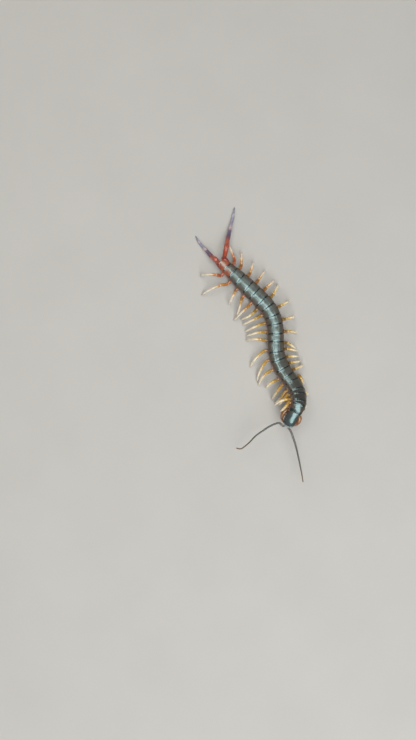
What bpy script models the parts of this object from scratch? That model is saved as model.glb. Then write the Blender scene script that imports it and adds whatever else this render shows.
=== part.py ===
"""A giant centipede at life size, as a still figure whose front end is raised and whose head dips.

The animal lies on the plane z = 0 with its tail towards +Y and its head towards -Y. Every length below
is in millimetres and every angle in degrees. Directions in the tables are seen by the animal:
out is away from its midline, ahead is towards its head, and right and left are its own sides.
"""

import math

import bmesh
import bpy
from mathutils import Matrix, Vector

MM = 0.001
GAP = 0.3

# Trunk: where its axis ends at the tail, and each segment from tail to head as
# (length, heading from -Y towards +X, upward pitch).
TAIL_END = (-13.0, 34.3, 3.1)
SEGMENTS = [
    (3.3, 47, 0),
    (3.6, 47, 0),
    (4.1, 47, 0),
    (4.8, 47, 0),
    (3.9, 46, 0),
    (4.5, 45, 0),
    (3.7, 40, 0),
    (4.4, 27, 0),
    (3.7, 14, 0),
    (4.1, 4, 0),
    (3.4, 0, 0),
    (4.4, 4, 0),
    (3.6, 16, 2),
    (4.3, 26, 4),
    (3.8, 34, 8),
    (3.1, 35, 16),
    (4.4, 26, 28),
    (2.6, 10, 36),
    (3.0, -5, 33),
    (1.7, -18, 22),
    (2.8, -28, 6),
]
SEGMENT_COUNT = len(SEGMENTS)
SEGMENTS_PER_NODE = 3
# How far the trunk leans over, right side up, as (segments from the tail, degrees).
LEANS = [(0, 0), (10, 0), (13, 8), (17, 10), (20, 4), (21, 2)]

# Half the width of the back plates at each joint between segments, from tail to head.
HALF_WIDTHS = [
    2.1, 2.6, 3.05, 3.4, 3.55, 3.65, 3.65, 3.6, 3.55, 3.5, 3.5,
    3.5, 3.55, 3.6, 3.6, 3.5, 3.4, 3.3, 3.2, 3.1, 3.0, 2.75,
]
HEIGHT_TO_WIDTH = 0.64

# The right half of the trunk's section, from the back to the belly, as shares of half the width and height.
TRUNK_SECTION = [(0, 1), (0.52, 0.9), (0.9, 0.5), (1.04, 0.02), (0.94, -0.48), (0.62, -0.88), (0, -0.95)]
# Each back plate swells a little behind its middle and tucks in at its front: (place along it, scale).
PLATE_SWELL = [(0.0, 1.0), (0.35, 1.02), (0.8, 0.99), (1.0, 0.95)]

# Head: its own heading and pitch, and its outline from the neck to the brow.
HEAD_HEADING = -28
HEAD_PITCH = -14
HEAD_LENGTH = 6.5
NECK_GAP = 0.6
HEAD_UP = 1.15
HEAD_DOWN = 1.1
HEAD_PROFILE = [
    (0.0, 1.9), (0.07, 2.3), (0.3, 2.65), (0.55, 2.65),
    (0.76, 2.3), (0.9, 1.7), (0.97, 1.15), (1.0, 0.7),
]
HEAD_SECTION = [(0, 1), (0.45, 0.93), (0.82, 0.6), (1.0, 0.05), (0.88, -0.55), (0.5, -0.95), (0, -1)]

EYE_GAP = 0.1
EYE_SIZE = (0.34, 0.55, 0.38)
EYE_PLACE = (1.9, 5.15, 0.42)

# Plate under the head that carries the two forcipules, the venom claws.
CLAW_BASE_SIZE = (3.0, 3.4, 1.0)
CLAW_BASE_PLACE = (0, 2.0, -2.05)
CLAW_BASE_BEVEL = 0.35
# A forcipule from root to tip in the head's frame: (out, ahead, up, radius).
FORCIPULE = [
    (2.6, 0.4, -2.2, 0.75),
    (3.35, 1.2, -2.1, 1.0),
    (3.7, 2.4, -2.1, 1.0),
    (3.55, 3.7, -2.2, 0.82),
    (3.05, 4.9, -2.5, 0.6),
    (2.2, 5.8, -2.85, 0.42),
    (1.2, 6.2, -3.15, 0.27),
]

# Each antenna leaves the brow at a point in the head's frame, as (out, ahead, up), and goes on
# through points in the model's frame.
ANTENNA_BASE = (0.9, 7.05, 0.0)
ANTENNA_RIGHT = [
    (10.3, -33.9, 11.2),
    (6.7, -35.2, 11.6),
    (3.7, -37.2, 11.2),
    (0.7, -39.5, 10.4),
    (-1.5, -42.0, 9.6),
    (-3.8, -44.1, 9.0),
    (-5.2, -45.0, 8.7),
    (-7.2, -44.8, 8.6),
]
ANTENNA_LEFT = [
    (15.9, -38.4, 10.8),
    (16.8, -41.0, 10.8),
    (17.6, -43.4, 10.4),
    (18.7, -47.5, 9.4),
    (19.8, -52.2, 8.4),
    (20.6, -55.8, 7.8),
    (21.2, -59.3, 7.4),
]
ANTENNA_RADIUS = (0.48, 0.25)
ANTENNA_STEPS = 15

# Walking legs: root on the trunk, share of the length in each article from coxa to second tarsus,
# share of the whole bend at each joint between them, and the radius at each joint from root to foot.
LEG_ROOT_OUT = 1.02
LEG_ROOT_DOWN = 0.3
LEG_ROOT_GAP = 0.25
# A leg whose foot is under the body starts at the belly instead.
BELLY_ROOT_OUT = 0.8
BELLY_ROOT_DOWN = 0.66
ARTICLES = (0.08, 0.26, 0.22, 0.19, 0.15, 0.10)
BEND_SHARES = (0.38, 0.3, 0.2, 0.12)
LEG_RADII = (0.66, 0.68, 0.58, 0.5, 0.4, 0.3, 0.25)
FOOT_HEIGHT = 0.4
FOOT_RADIUS = 0.25
MIDDLE_SWELL = 1.08
YELLOW_PAIRS = range(2, 16)

# Each leg as (length, root's way ahead of the segment's middle, foot's way out, foot's way ahead,
# sideways bow, height of the foot), pairs 1 to 20. A positive bow turns the foot ahead.
LEGS_RIGHT = [
    (8.7, -0.3, 2.6, 3.3, 0, 0.6),
    (9.0, 0.3, 6.0, 4.8, 0, 7.0),
    (9.3, 0.1, 9.9, 4.0, 34, 8.0),
    (9.4, -0.5, 8.6, 4.0, 10, 4.2),
    (9.9, -0.2, 10.4, 3.5, -6, 0),
    (10.4, -0.4, 11.1, 2.6, 10, 0),
    (10.8, 0.0, 9.8, 0.2, 28, 0),
    (11.2, 0.0, 12.2, 3.6, 32, 0),
    (11.8, 0.2, 11.2, 7.8, 20, 0),
    (11.5, 0.8, 11.3, 7.4, 18, 0),
    (11.3, 0.5, 12.6, 0.5, 8, 0),
    (11.3, 0.3, 12.5, 1.6, 8, 0),
    (11.4, -0.3, 12.9, 1.1, 2, 0),
    (11.6, -0.8, 12.8, -1.0, -4, 0),
    (11.8, -1.0, 11.8, -2.2, -22, 0),
    (12.0, -0.9, 14.1, -1.1, -2, 0),
    (12.2, -1.2, 12.4, 2.7, -2, 0),
    (12.6, -1.1, 10.4, 0.8, 0, 0),
    (14.8, -1.2, 15.7, -6.3, 8, 0),
    (14.2, -1.9, 10.1, -8.5, -3, 0),
]
LEGS_LEFT = [
    (8.5, -0.2, 2.1, 3.7, 0, 0.3),
    (8.8, -0.5, 2.9, 3.8, 0, 0.5),
    (9.3, -0.1, 2.9, 5.1, 0, 0),
    (9.4, -0.1, 2.8, 5.8, 0, 0),
    (9.9, 0.0, 3.2, 3.4, 0, 0),
    (10.4, 0.2, 4.1, 2.6, 0, 0),
    (10.8, 0.3, 7.2, 0.8, 3, 0),
    (11.0, 0.6, 7.6, 1.5, 0, 0),
    (11.2, 0.9, 8.4, 1.9, 0, 0),
    (11.3, 0.5, 8.2, 1.4, 0, 0),
    (11.3, 1.4, 8.0, 3.7, 4, 0),
    (11.3, 0.6, 8.1, 1.3, 0, 0),
    (11.3, 0.0, 7.8, 0.2, 0, 0),
    (11.4, -0.8, 8.2, -0.8, 0, 0),
    (11.5, -1.2, 9.5, -2.9, -6, 0),
    (11.7, -1.0, 9.2, -0.6, 0, 0),
    (12.0, -1.4, 9.8, -2.0, 0, 0),
    (12.4, -1.6, 8.8, -3.3, 0, 0),
    (13.4, -2.0, 8.8, -6.0, 0, 0),
    (14.2, -1.6, 7.6, -8.8, 0, 0),
]

# The last pair of legs trails behind the body: (x, y, z, radius) at each joint from root to tip.
LAST_LEG_RIGHT = [
    (-14.7, 34.2, 3.4, 0.8),
    (-15.9, 34.9, 8.0, 1.05),
    (-17.4, 36.8, 4.2, 1.0),
    (-20.0, 40.2, 2.2, 0.7),
    (-22.9, 43.6, 1.1, 0.48),
    (-24.4, 46.4, 0.4, 0.27),
]
LAST_LEG_LEFT = [
    (-12.2, 36.2, 3.4, 0.8),
    (-11.4, 39.7, 6.9, 1.05),
    (-10.7, 44.0, 3.7, 1.0),
    (-9.5, 49.4, 2.0, 0.7),
    (-8.2, 55.1, 1.0, 0.48),
    (-7.6, 58.9, 0.4, 0.27),
]


def scene_collections():
    """Empties the scene and returns the collections for the model and for the cutters."""
    for old in list(bpy.data.objects):
        bpy.data.objects.remove(old)
    made = []
    for name in ("giant_centipede", "cutters"):
        collection = bpy.data.collections.new(name)
        bpy.context.scene.collection.children.link(collection)
        made.append(collection)
    return made


MODEL, CUTTERS = scene_collections()


def material(name, color, roughness, metallic=0.0):
    made = bpy.data.materials.new(name)
    made.use_nodes = True
    shader = made.node_tree.nodes["Principled BSDF"]
    shader.inputs["Base Color"].default_value = (*color, 1)
    shader.inputs["Roughness"].default_value = roughness
    shader.inputs["Metallic"].default_value = metallic
    made.diffuse_color = (*color, 1)
    return made


BACK_PLATE = material("back_plate", (0.075, 0.09, 0.085), 0.28)
HEAD_PLATE = material("head_plate", (0.06, 0.08, 0.08), 0.22)
EYE_LENS = material("eye_lens", (0.01, 0.01, 0.012), 0.1)
ANTENNA_SHELL = material("antenna_shell", (0.09, 0.1, 0.085), 0.4)
FORCIPULE_SHELL = material("forcipule_shell", (0.35, 0.12, 0.03), 0.3)
LEG_YELLOW = material("leg_yellow", (0.6, 0.38, 0.08), 0.35)
LEG_ORANGE = material("leg_orange", (0.62, 0.25, 0.07), 0.35)
LEG_RED = material("leg_red", (0.5, 0.09, 0.04), 0.32)


def direction(heading, pitch):
    h = math.radians(heading)
    p = math.radians(pitch)
    return Vector((math.sin(h) * math.cos(p), -math.cos(h) * math.cos(p), math.sin(p)))


def trunk_joints():
    """The points on the trunk's axis between its segments, and the axis' direction at each."""
    ways = [direction(heading, pitch) for length, heading, pitch in SEGMENTS]
    points = [Vector(TAIL_END)]
    for (length, heading, pitch), way in zip(SEGMENTS, ways):
        points.append(points[-1] + way * length)
    turns = [ways[0]]
    for behind, before in zip(ways, ways[1:]):
        turns.append((behind + before).normalized())
    turns.append(ways[-1])
    return points, turns


JOINTS, JOINT_WAYS = trunk_joints()


def axes(forward):
    """Unit vectors to the right, up and forward, with no roll."""
    forward = forward.normalized()
    right = forward.cross(Vector((0, 0, 1))).normalized()
    return right, right.cross(forward), forward


def lean_at(t):
    for (a, first), (b, second) in zip(LEANS, LEANS[1:]):
        if t <= b:
            return math.radians(first + (second - first) * (t - a) / (b - a))
    return math.radians(LEANS[-1][1])


def spine(t):
    """The trunk's axis at t segments from the tail: the point there and its three axes."""
    k = min(int(t), SEGMENT_COUNT - 1)
    u = t - k
    length = SEGMENTS[k][0]
    a, b = JOINTS[k], JOINTS[k + 1]
    way_a, way_b = JOINT_WAYS[k] * length, JOINT_WAYS[k + 1] * length
    point = (
        a * (2 * u**3 - 3 * u**2 + 1)
        + way_a * (u**3 - 2 * u**2 + u)
        + b * (3 * u**2 - 2 * u**3)
        + way_b * (u**3 - u**2)
    )
    slope = (a - b) * (6 * u**2 - 6 * u) + way_a * (3 * u**2 - 4 * u + 1) + way_b * (3 * u**2 - 2 * u)
    right, up, forward = axes(slope)
    c, s = math.cos(lean_at(t)), math.sin(lean_at(t))
    return point, (right * c + up * s, up * c - right * s, forward)


def half_width(t):
    k = min(int(t), SEGMENT_COUNT - 1)
    return HALF_WIDTHS[k] + (HALF_WIDTHS[k + 1] - HALF_WIDTHS[k]) * (t - k)


def whole_section(half):
    """A full outline from its right half, which runs from the top to the bottom."""
    return half + [(-x, z) for x, z in reversed(half[1:-1])]


def loft(name, rings, skin):
    """A closed body through rings of points that match one to one, smooth shaded."""
    bm = bmesh.new()
    loops = [[bm.verts.new(p * MM) for p in ring] for ring in rings]
    for first, second in zip(loops, loops[1:]):
        for i in range(len(first)):
            j = (i + 1) % len(first)
            bm.faces.new((first[i], first[j], second[j], second[i]))
    bm.faces.new(reversed(loops[0]))
    bm.faces.new(loops[-1])
    bmesh.ops.recalc_face_normals(bm, faces=bm.faces)
    mesh = bpy.data.meshes.new(name)
    bm.to_mesh(mesh)
    bm.free()
    mesh.shade_smooth()
    mesh.set_sharp_from_angle(angle=math.radians(50))
    mesh.materials.append(skin)
    made = bpy.data.objects.new(name, mesh)
    MODEL.objects.link(made)
    return made


def tube(name, points, radii, skin):
    """A tapered tube with flat ends along points."""
    curve = bpy.data.curves.new(name, "CURVE")
    curve.dimensions = "3D"
    curve.bevel_depth = MM
    curve.bevel_resolution = 2
    curve.use_fill_caps = True
    line = curve.splines.new("POLY")
    line.points.add(len(points) - 1)
    for target, point, radius in zip(line.points, points, radii):
        target.co = (*(Vector(point) * MM), 1)
        target.radius = radius
    curve.materials.append(skin)
    made = bpy.data.objects.new(name, curve)
    MODEL.objects.link(made)
    return made


def trunk_ring(t, scale):
    point, (right, up, forward) = spine(t)
    wide = half_width(t) * scale
    high = half_width(t) * HEIGHT_TO_WIDTH * scale
    return [point + right * wide * x + up * high * z for x, z in whole_section(TRUNK_SECTION)]


def make_trunk():
    """The trunk in lengths of three segments, numbered from the head."""
    node_count = SEGMENT_COUNT // SEGMENTS_PER_NODE
    for n in range(node_count):
        first = n * SEGMENTS_PER_NODE
        rings = []
        for k in range(first, first + SEGMENTS_PER_NODE):
            trim = GAP / 2 / SEGMENTS[k][0]
            start = k + trim
            span = 1 - 2 * trim
            rings += [trunk_ring(start + span * place, scale) for place, scale in PLATE_SWELL]
        loft(f"trunk_{node_count - n}", rings, BACK_PLATE)


def head_frame():
    """The middle of the neck and the head's axes."""
    right, up, forward = axes(direction(HEAD_HEADING, HEAD_PITCH))
    neck = JOINTS[-1] + forward * NECK_GAP
    return neck, right, up, forward


NECK, HEAD_RIGHT, HEAD_UPWARD, HEAD_FORWARD = head_frame()


def head_point(side, out, ahead, up):
    return NECK + HEAD_RIGHT * side * out + HEAD_FORWARD * ahead + HEAD_UPWARD * up


def head_matrix(side, out, ahead, up):
    """A placing in the head's frame, in metres."""
    turn = Matrix((HEAD_RIGHT, HEAD_FORWARD, HEAD_UPWARD)).transposed().to_4x4()
    return Matrix.Translation(head_point(side, out, ahead, up) * MM) @ turn


def ellipsoid(name, place, size, collection):
    bm = bmesh.new()
    bmesh.ops.create_uvsphere(bm, u_segments=10, v_segments=6, radius=MM)
    bmesh.ops.scale(bm, vec=size, verts=bm.verts)
    bmesh.ops.transform(bm, matrix=place, verts=bm.verts)
    mesh = bpy.data.meshes.new(name)
    bm.to_mesh(mesh)
    bm.free()
    mesh.shade_smooth()
    made = bpy.data.objects.new(name, mesh)
    collection.objects.link(made)
    return made


def make_head():
    """The head capsule, with a shallow socket for the group of eyes on each side."""
    whole = max(wide for place, wide in HEAD_PROFILE)
    rings = []
    for place, wide in HEAD_PROFILE:
        thick = math.sqrt(wide / whole)
        ring = []
        for x, z in whole_section(HEAD_SECTION):
            reach = HEAD_UP if z > 0 else HEAD_DOWN
            ring.append(head_point(1, wide * x, HEAD_LENGTH * place, reach * thick * z))
        rings.append(ring)
    head = loft("head", rings, HEAD_PLATE)
    for side, word in ((1, "right"), (-1, "left")):
        place = head_matrix(side, *EYE_PLACE)
        socket = ellipsoid(f"socket_{word}", place, [s + EYE_GAP for s in EYE_SIZE], CUTTERS)
        socket.hide_render = True
        socket.display_type = "WIRE"
        cut = head.modifiers.new(f"socket_{word}", "BOOLEAN")
        cut.object = socket
        eye = ellipsoid(f"eye_{word}", place, EYE_SIZE, MODEL)
        eye.data.materials.append(EYE_LENS)


def make_claw_base():
    """The plate under the head from which the forcipules grow."""
    bm = bmesh.new()
    bmesh.ops.create_cube(bm, size=MM)
    bmesh.ops.scale(bm, vec=CLAW_BASE_SIZE, verts=bm.verts)
    mesh = bpy.data.meshes.new("forcipule_base")
    bm.to_mesh(mesh)
    bm.free()
    mesh.materials.append(FORCIPULE_SHELL)
    base = bpy.data.objects.new("forcipule_base", mesh)
    base.matrix_world = head_matrix(1, *CLAW_BASE_PLACE)
    MODEL.objects.link(base)
    rounded = base.modifiers.new("rounded", "BEVEL")
    rounded.width = CLAW_BASE_BEVEL * MM
    rounded.segments = 2


def make_forcipules():
    for side, word in ((1, "right"), (-1, "left")):
        points = [head_point(side, out, ahead, up) for out, ahead, up, radius in FORCIPULE]
        tube(f"forcipule_{word}", points, [row[3] for row in FORCIPULE], FORCIPULE_SHELL)


def smooth_route(points, steps):
    """Evenly spaced points on the smooth curve through points."""
    knots = [Vector(p) for p in points]
    knots = [knots[0] * 2 - knots[1]] + knots + [knots[-1] * 2 - knots[-2]]
    fine = []
    for a, b, c, d in zip(knots, knots[1:], knots[2:], knots[3:]):
        for i in range(steps):
            u = i / steps
            fine.append(
                (b * 2 + (c - a) * u + (a * 2 - b * 5 + c * 4 - d) * u**2 + (b * 3 - a - c * 3 + d) * u**3) / 2
            )
    fine.append(knots[-2])
    lengths = [0.0]
    for a, b in zip(fine, fine[1:]):
        lengths.append(lengths[-1] + (b - a).length)
    even = []
    k = 0
    for i in range(steps + 1):
        want = lengths[-1] * i / steps
        while k < len(fine) - 2 and lengths[k + 1] < want:
            k += 1
        share = (want - lengths[k]) / (lengths[k + 1] - lengths[k])
        even.append(fine[k].lerp(fine[k + 1], share))
    return even


def make_antennae():
    thick, thin = ANTENNA_RADIUS
    for side, word, route in ((1, "right", ANTENNA_RIGHT), (-1, "left", ANTENNA_LEFT)):
        points = smooth_route([head_point(side, *ANTENNA_BASE)] + route, ANTENNA_STEPS)
        radii = [thick + (thin - thick) * i / ANTENNA_STEPS for i in range(ANTENNA_STEPS + 1)]
        tube(f"antenna_{word}", points, radii, ANTENNA_SHELL)


def chain(bend, length):
    """The joints of a leg beyond its coxa in an upright plane when it starts level and curls down by bend,
    as (distance along the ground, height)."""
    angle = 0.0
    joints = [(0.0, 0.0)]
    for article, share in zip(ARTICLES[1:], (0, *BEND_SHARES)):
        angle -= bend * share
        x, z = joints[-1]
        joints.append((x + math.cos(angle) * article * length, z + math.sin(angle) * article * length))
    return joints


def leg_profile(length, reach, drop):
    """The joints beyond the coxa of a leg whose foot is reach away from the coxa's end and drop below it."""
    span = math.hypot(reach, drop)
    low, high = 0.0, math.radians(300)
    for _ in range(40):
        bend = (low + high) / 2
        x, z = chain(bend, length)[-1]
        if math.hypot(x, z) > span:
            low = bend
        else:
            high = bend
    joints = chain(bend, length)
    turn = math.atan2(-drop, reach) - math.atan2(joints[-1][1], joints[-1][0])
    c, s = math.cos(turn), math.sin(turn)
    return [(x * c - z * s, x * s + z * c) for x, z in joints]


def leg_joints(pair, side, row):
    """The points from root to foot of a walking leg. Side is 1 for the right and -1 for the left."""
    length, root_ahead, foot_out, foot_ahead, bow, foot_height = row
    t = SEGMENT_COUNT - pair + 0.5
    centre, (right, up, forward) = spine(t)
    wide = half_width(t)
    if foot_out < wide:
        root_out = wide * BELLY_ROOT_OUT
        root_down = wide * BELLY_ROOT_DOWN
        coxa = -up
    else:
        root_out = wide * LEG_ROOT_OUT + LEG_ROOT_GAP
        root_down = wide * LEG_ROOT_DOWN
        coxa = right * side
    root = centre + right * side * root_out + forward * root_ahead - up * root_down
    hip = root + coxa * ARTICLES[0] * length
    level_ahead = Vector((forward.x, forward.y, 0)).normalized()
    foot = centre + right * side * foot_out + level_ahead * foot_ahead
    foot.z = foot_height + FOOT_HEIGHT
    ground = Vector((foot.x - hip.x, foot.y - hip.y, 0))
    half_turn = math.radians(bow)
    stretch = half_turn / math.sin(half_turn) if bow else 1.0
    reach = ground.length * stretch
    along = ground.normalized()
    across = level_ahead - along * level_ahead.dot(along)
    across.normalize()
    points = [root]
    for x, z in leg_profile(length, reach, hip.z - foot.z):
        share = x / reach
        if bow:
            arc = half_turn * (2 * share - 1)
            radius = reach / (2 * half_turn)
            straight = radius * (math.sin(arc) + math.sin(half_turn))
            aside = radius * (math.cos(half_turn) - math.cos(arc))
        else:
            straight = x
            aside = 0.0
        points.append(hip + along * straight + across * aside + Vector((0, 0, z)))
    points.append(Vector((foot.x, foot.y, foot_height)))
    return points


def leg_tube(name, joints, radii, skin):
    """A leg through its joints, a little thicker in the middle of its two upper articles."""
    points = [joints[0]]
    sizes = [radii[0]]
    for i in range(1, len(joints)):
        if i in (2, 3):
            points.append((joints[i - 1] + joints[i]) / 2)
            sizes.append((radii[i - 1] + radii[i]) / 2 * MIDDLE_SWELL)
        points.append(joints[i])
        sizes.append(radii[i])
    tube(name, points, sizes, skin)


def make_walking_legs():
    for side, word, rows in ((1, "right", LEGS_RIGHT), (-1, "left", LEGS_LEFT)):
        for number, row in enumerate(rows, start=1):
            skin = LEG_YELLOW if number in YELLOW_PAIRS else LEG_ORANGE
            joints = leg_joints(number, side, row)
            leg_tube(f"leg_{word}_{number:02d}", joints, (*LEG_RADII, FOOT_RADIUS), skin)


def make_last_legs():
    for word, rows in (("right", LAST_LEG_RIGHT), ("left", LAST_LEG_LEFT)):
        joints = [Vector(row[:3]) for row in rows]
        joints.append(Vector((joints[-1].x, joints[-1].y, 0)))
        leg_tube(f"leg_{word}_21", joints, [row[3] for row in rows] + [FOOT_RADIUS], LEG_RED)


make_trunk()
make_head()
make_claw_base()
make_forcipules()
make_antennae()
make_walking_legs()
make_last_legs()
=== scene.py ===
"""The looks of the giant centipede: its plates, skin, head, feelers and legs, under studio light.

Lengths are in millimetres and angles in degrees until a mesh is made. Right and left are the animal's
own, out is away from its midline, and ahead is towards its head. The pose repeats that of the solids.
"""

import math

import bmesh
import bpy
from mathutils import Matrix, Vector, noise


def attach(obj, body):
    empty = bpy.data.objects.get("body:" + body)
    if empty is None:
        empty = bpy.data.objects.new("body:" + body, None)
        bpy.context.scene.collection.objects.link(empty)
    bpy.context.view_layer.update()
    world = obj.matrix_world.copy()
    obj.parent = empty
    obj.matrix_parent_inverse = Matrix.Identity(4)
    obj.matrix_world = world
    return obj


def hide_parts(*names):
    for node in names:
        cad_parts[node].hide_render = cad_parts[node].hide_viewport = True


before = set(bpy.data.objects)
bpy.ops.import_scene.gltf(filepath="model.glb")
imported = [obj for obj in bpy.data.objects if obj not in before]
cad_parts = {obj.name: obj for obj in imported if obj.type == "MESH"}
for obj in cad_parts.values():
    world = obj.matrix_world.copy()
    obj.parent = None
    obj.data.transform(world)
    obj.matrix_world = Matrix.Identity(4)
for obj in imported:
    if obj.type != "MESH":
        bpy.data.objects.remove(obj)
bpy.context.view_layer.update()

MM = 0.001
UP = Vector((0, 0, 1))

# Trunk: its tail end, and each segment from tail to head as (length, heading from -Y towards +X, pitch).
TAIL_END = (-13.0, 34.3, 3.1)
SEGMENTS = [
    (3.3, 47, 0), (3.6, 47, 0), (4.1, 47, 0), (4.8, 47, 0), (3.9, 46, 0), (4.5, 45, 0), (3.7, 40, 0),
    (4.4, 27, 0), (3.7, 14, 0), (4.1, 4, 0), (3.4, 0, 0), (4.4, 4, 0), (3.6, 16, 2), (4.3, 26, 4),
    (3.8, 34, 8), (3.1, 35, 16), (4.4, 26, 28), (2.6, 10, 36), (3.0, -5, 33), (1.7, -18, 22), (2.8, -28, 6),
]
SEGMENT_COUNT = len(SEGMENTS)
# How far the trunk leans over, right side up, as (segments from the tail, degrees).
LEANS = [(0, 0), (10, 0), (13, 8), (17, 10), (20, 4), (21, 2)]
HALF_WIDTHS = [
    2.1, 2.6, 3.05, 3.4, 3.55, 3.65, 3.65, 3.6, 3.55, 3.5, 3.5,
    3.5, 3.55, 3.6, 3.6, 3.5, 3.4, 3.3, 3.2, 3.1, 3.0, 2.75,
]
HEIGHT_TO_WIDTH = 0.64
# How much lower the back is at the neck, as a share of its height.
NECK_DIP = 0.4

# The right half of the body's section from back to belly, as shares of half the width and height.
# A place on the section is told by its number along this list, negative on the left.
BODY_HALF = [
    (0.0, 1.0), (0.29, 0.965), (0.54, 0.88), (0.76, 0.715), (0.91, 0.47), (0.98, 0.22), (1.01, -0.05),
    (0.98, -0.32), (0.9, -0.56), (0.74, -0.77), (0.5, -0.89), (0.25, -0.94), (0.0, -0.95),
]
BELLY = len(BODY_HALF) - 1
SUTURE = 1.0
BACK_EDGE = 4.6
BELLY_EDGE = 3.1

# Head
HEAD_HEADING = -28
HEAD_PITCH = -14
NECK_GAP = 0.6
EYE_PLACE = (1.9, 5.15)
# A venom claw's axis, as (out, ahead, up, radius).
FORCIPULE = [
    (2.6, 0.4, -2.2, 0.75), (3.35, 1.2, -2.1, 1.0), (3.7, 2.4, -2.1, 1.0), (3.55, 3.7, -2.2, 0.82),
    (3.05, 4.9, -2.5, 0.6), (2.2, 5.8, -2.85, 0.42), (1.2, 6.2, -3.15, 0.27),
]
FORCIPULE_JOINTS = (1.15, 4.1, 4.75, 5.3)
ANTENNA_ROOT = [(0.8, 6.0, -0.15), (1.15, 6.75, 0.0), (1.75, 6.95, 0.12)]
ANTENNA_RIGHT = [
    (10.3, -33.9, 11.2), (6.7, -35.2, 11.6), (3.7, -37.2, 11.2), (0.7, -39.5, 10.4), (-1.5, -42.0, 9.6),
    (-3.8, -44.1, 9.0), (-5.2, -45.0, 8.7), (-7.2, -44.8, 8.6),
]
ANTENNA_LEFT = [
    (15.9, -38.4, 10.8), (16.8, -41.0, 10.8), (17.6, -43.4, 10.4), (18.7, -47.5, 9.4), (19.8, -52.2, 8.4),
    (20.6, -55.8, 7.8), (21.2, -59.3, 7.4),
]
ANTENNA_RADIUS = (0.48, 0.25)
ANTENNA_ARTICLES = 19

# Walking legs, as (length, root ahead, foot out, foot ahead, bow, foot height), pairs 1 to 20.
LEG_ROOT_OUT = 1.02
LEG_ROOT_DOWN = 0.3
LEG_ROOT_GAP = 0.25
BELLY_ROOT_OUT = 0.8
BELLY_ROOT_DOWN = 0.66
ARTICLES = (0.08, 0.26, 0.22, 0.19, 0.15, 0.10)
BEND_SHARES = (0.38, 0.3, 0.2, 0.12)
LEG_RADII = (0.66, 0.68, 0.58, 0.5, 0.4, 0.3, 0.25)
FOOT_HEIGHT = 0.4
YELLOW_PAIRS = range(2, 16)
LEGS_RIGHT = [
    (8.7, -0.3, 2.6, 3.3, 0, 0.6), (9.0, 0.3, 6.0, 4.8, 0, 7.0), (9.3, 0.1, 9.9, 4.0, 34, 8.0),
    (9.4, -0.5, 8.6, 4.0, 10, 4.2), (9.9, -0.2, 10.4, 3.5, -6, 0), (10.4, -0.4, 11.1, 2.6, 10, 0),
    (10.8, 0.0, 9.8, 0.2, 28, 0), (11.2, 0.0, 12.2, 3.6, 32, 0), (11.8, 0.2, 11.2, 7.8, 20, 0),
    (11.5, 0.8, 11.3, 7.4, 18, 0), (11.3, 0.5, 12.6, 0.5, 8, 0), (11.3, 0.3, 12.5, 1.6, 8, 0),
    (11.4, -0.3, 12.9, 1.1, 2, 0), (11.6, -0.8, 12.8, -1.0, -4, 0), (11.8, -1.0, 11.8, -2.2, -22, 0),
    (12.0, -0.9, 14.1, -1.1, -2, 0), (12.2, -1.2, 12.4, 2.7, -2, 0), (12.6, -1.1, 10.4, 0.8, 0, 0),
    (14.8, -1.2, 15.7, -6.3, 8, 0), (14.2, -1.9, 10.1, -8.5, -3, 0),
]
LEGS_LEFT = [
    (8.5, -0.2, 2.1, 3.7, 0, 0.3), (8.8, -0.5, 2.9, 3.8, 0, 0.5), (9.3, -0.1, 2.9, 5.1, 0, 0),
    (9.4, -0.1, 2.8, 5.8, 0, 0), (9.9, 0.0, 3.2, 3.4, 0, 0), (10.4, 0.2, 4.1, 2.6, 0, 0),
    (10.8, 0.3, 7.2, 0.8, 3, 0), (11.0, 0.6, 7.6, 1.5, 0, 0), (11.2, 0.9, 8.4, 1.9, 0, 0),
    (11.3, 0.5, 8.2, 1.4, 0, 0), (11.3, 1.4, 8.0, 3.7, 4, 0), (11.3, 0.6, 8.1, 1.3, 0, 0),
    (11.3, 0.0, 7.8, 0.2, 0, 0), (11.4, -0.8, 8.2, -0.8, 0, 0), (11.5, -1.2, 9.5, -2.9, -6, 0),
    (11.7, -1.0, 9.2, -0.6, 0, 0), (12.0, -1.4, 9.8, -2.0, 0, 0), (12.4, -1.6, 8.8, -3.3, 0, 0),
    (13.4, -2.0, 8.8, -6.0, 0, 0), (14.2, -1.6, 7.6, -8.8, 0, 0),
]
LAST_LEG_RIGHT = [
    (-14.7, 34.2, 3.4, 0.8), (-15.9, 34.9, 8.0, 1.05), (-17.4, 36.8, 4.2, 1.0), (-20.0, 40.2, 2.2, 0.7),
    (-22.9, 43.6, 1.1, 0.48), (-24.4, 46.4, 0.4, 0.27),
]
LAST_LEG_LEFT = [
    (-12.2, 36.2, 3.4, 0.8), (-11.4, 39.7, 6.9, 1.05), (-10.7, 44.0, 3.7, 1.0), (-9.5, 49.4, 2.0, 0.7),
    (-8.2, 55.1, 1.0, 0.48), (-7.6, 58.9, 0.4, 0.27),
]
SIDES = ((1, "right"), (-1, "left"))


# Small helpers

def mix(a, b, share):
    return a + (b - a) * share


def ease(low, high, value):
    """0 below low, 1 above high and smooth between."""
    share = min(max((value - low) / (high - low), 0), 1)
    return share * share * (3 - 2 * share)


def hump(value, middle, width):
    """1 where value is at the middle, falling off over the width on both sides."""
    return math.exp(-((value - middle) / width) ** 2)


def signed_power(value, power):
    return math.copysign(abs(value) ** power, value)


def along_table(rows, place):
    """The value at place on the straight lines through (place, value) rows."""
    for (a, first), (b, second) in zip(rows, rows[1:]):
        if place <= b:
            return mix(first, second, max(place - a, 0) / (b - a))
    return rows[-1][1]


def catmull(a, b, c, d, u):
    """The point at share u between b and c on the smooth curve through all four."""
    return (b * 2 + (c - a) * u + (a * 2 - b * 5 + c * 4 - d) * u**2 + (b * 3 - a - c * 3 + d) * u**3) / 2


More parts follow.
